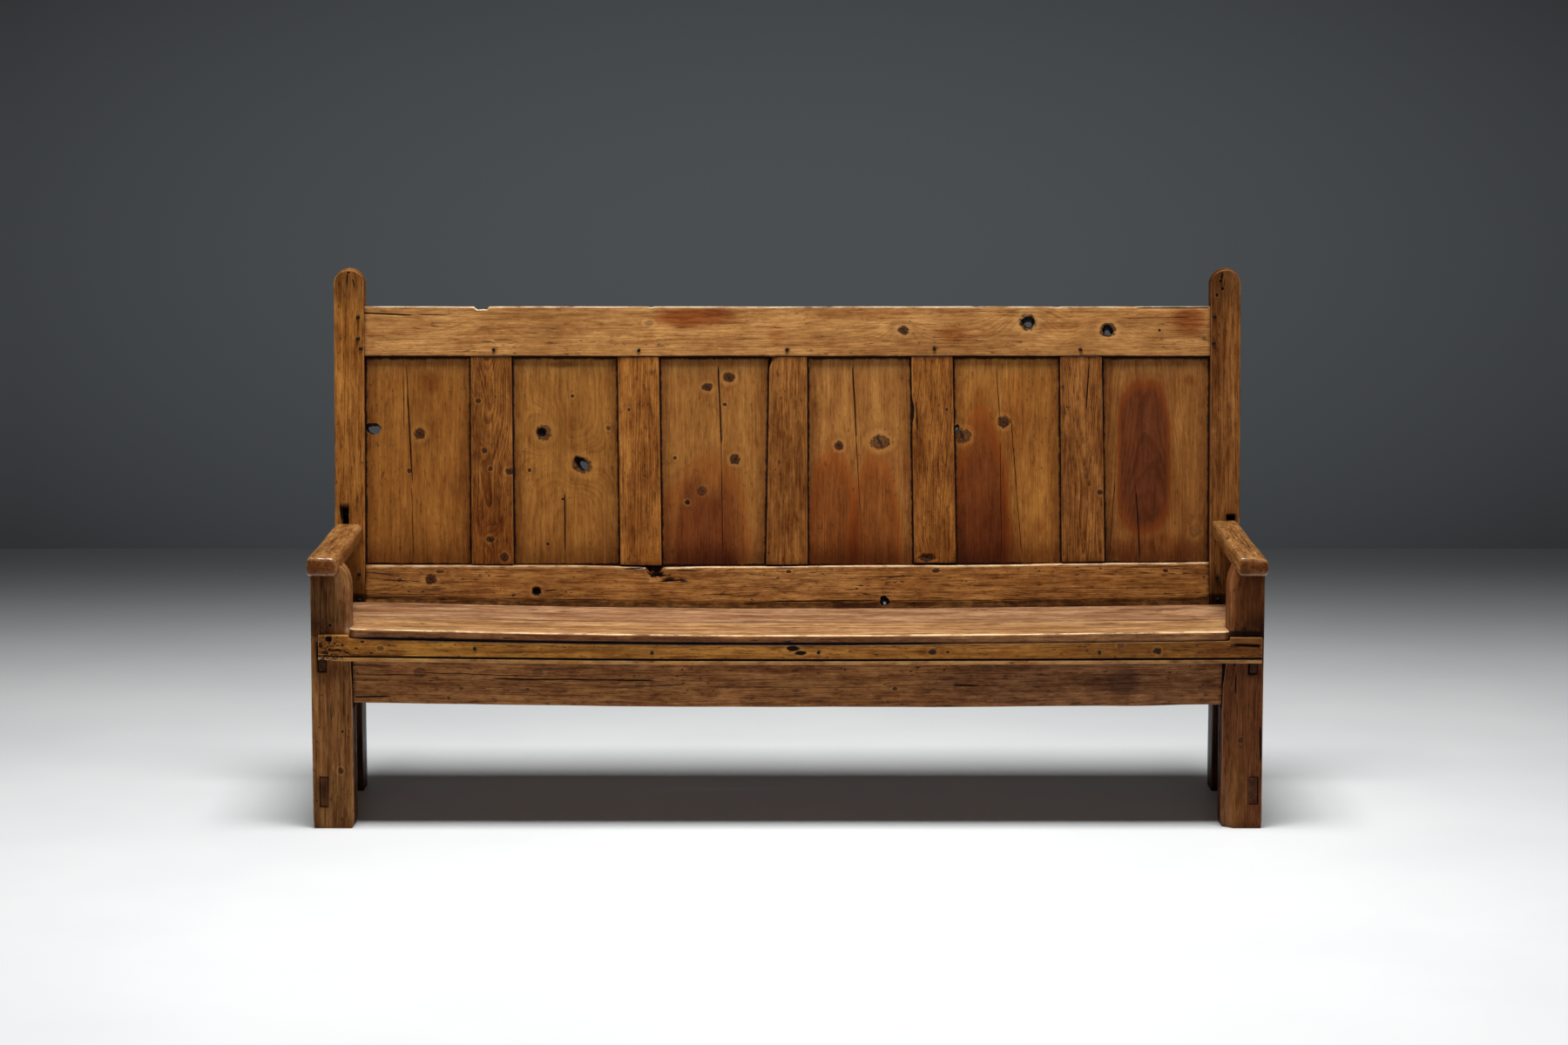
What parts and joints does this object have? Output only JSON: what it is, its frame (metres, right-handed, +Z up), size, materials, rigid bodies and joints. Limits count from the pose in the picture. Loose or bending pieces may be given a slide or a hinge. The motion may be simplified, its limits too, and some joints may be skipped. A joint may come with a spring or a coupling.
{
  "type": "monks bench",
  "caption": "Old pine hall bench with flat arms, a raked panelled back, a plank seat over a beaded strip and apron, and open legs with side stretchers.",
  "frame": {"origin": "on the floor, under the middle of the bench's bounding box", "axes": "+X along the bench, to the right in a front view; +Y from the front edge to the back; +Z up"},
  "size_m": [2, 0.5432, 1.16],
  "materials": {
    "panel_wood": "old waxed pine, thin boards, satin",
    "muntin_wood": "old waxed pine, satin",
    "rail_wood": "old waxed pine, polished edges, satin",
    "post_wood": "old waxed pine, dark, satin",
    "leg_wood": "old pine, dark and worn, satin",
    "arm_wood": "old pine polished by hands, satin to gloss",
    "seat_wood": "old pine, worn and polished, satin",
    "strip_wood": "old pine with worm holes, satin",
    "apron_wood": "old pine, dark, satin",
    "frame_wood": "old dry pine, matt",
    "nail_iron": "dark forged iron, matt"
  },
  "bodies": {
    "root": {"back_panel_1": "panel_wood", "back_panel_2": "panel_wood", "back_panel_3": "panel_wood", "back_panel_4": "panel_wood", "back_panel_5": "panel_wood", "back_panel_6": "panel_wood", "muntin_1": "muntin_wood", "muntin_2": "muntin_wood", "muntin_3": "muntin_wood", "muntin_4": "muntin_wood", "muntin_5": "muntin_wood", "top_rail": "rail_wood", "lower_back_rail": "rail_wood", "left_back_post": "post_wood", "right_back_post": "post_wood", "left_front_leg": "leg_wood", "right_front_leg": "leg_wood", "left_arm": "arm_wood", "right_arm": "arm_wood", "seat_front_board": "seat_wood", "seat_back_board": "seat_wood", "seat_edge_strip": "strip_wood", "front_apron": "apron_wood", "left_lower_stretcher": "apron_wood", "right_lower_stretcher": "apron_wood", "left_side_seat_rail": "frame_wood", "right_side_seat_rail": "frame_wood", "seat_back_ledger": "frame_wood", "seat_bearer": "frame_wood", "left_post_nail_1": "nail_iron", "left_post_nail_2": "nail_iron", "left_post_nail_3": "nail_iron", "left_post_nail_4": "nail_iron", "left_post_nail_5": "nail_iron", "right_post_nail_1": "nail_iron", "right_post_nail_2": "nail_iron", "right_post_nail_3": "nail_iron", "right_post_nail_4": "nail_iron", "muntin_nail_1": "nail_iron", "muntin_nail_2": "nail_iron", "muntin_nail_3": "nail_iron", "muntin_nail_4": "nail_iron", "muntin_nail_5": "nail_iron", "strip_nail_1": "nail_iron", "strip_nail_2": "nail_iron", "strip_nail_3": "nail_iron", "strip_nail_4": "nail_iron", "right_leg_nail": "nail_iron"}
  },
  "joints": []
}
